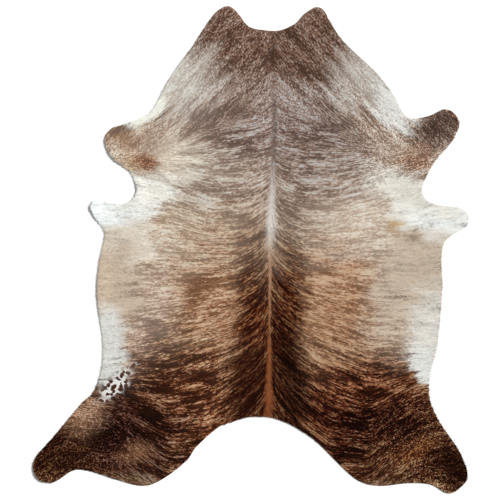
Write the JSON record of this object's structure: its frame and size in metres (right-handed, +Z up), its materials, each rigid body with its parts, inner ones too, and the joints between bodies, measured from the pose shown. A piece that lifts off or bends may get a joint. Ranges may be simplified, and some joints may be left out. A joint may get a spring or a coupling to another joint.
{
  "type": "cowhide rug",
  "caption": "Whole brindle cowhide rug with its hair on, lying flat, with neck, front legs, flank flaps and hind legs.",
  "frame": {"origin": "middle of the hide's box, on the floor, under the flesh side", "axes": "+Y along the back towards the neck, +X to the right seen from above, +Z up out of the hair"},
  "size_m": [2.016, 2.254, 0.0095],
  "materials": {
    "hair_hide": "short brindle hair with white belly and spine, matt"
  },
  "bodies": {
    "root": {"hide": "hair_hide"}
  },
  "joints": []
}
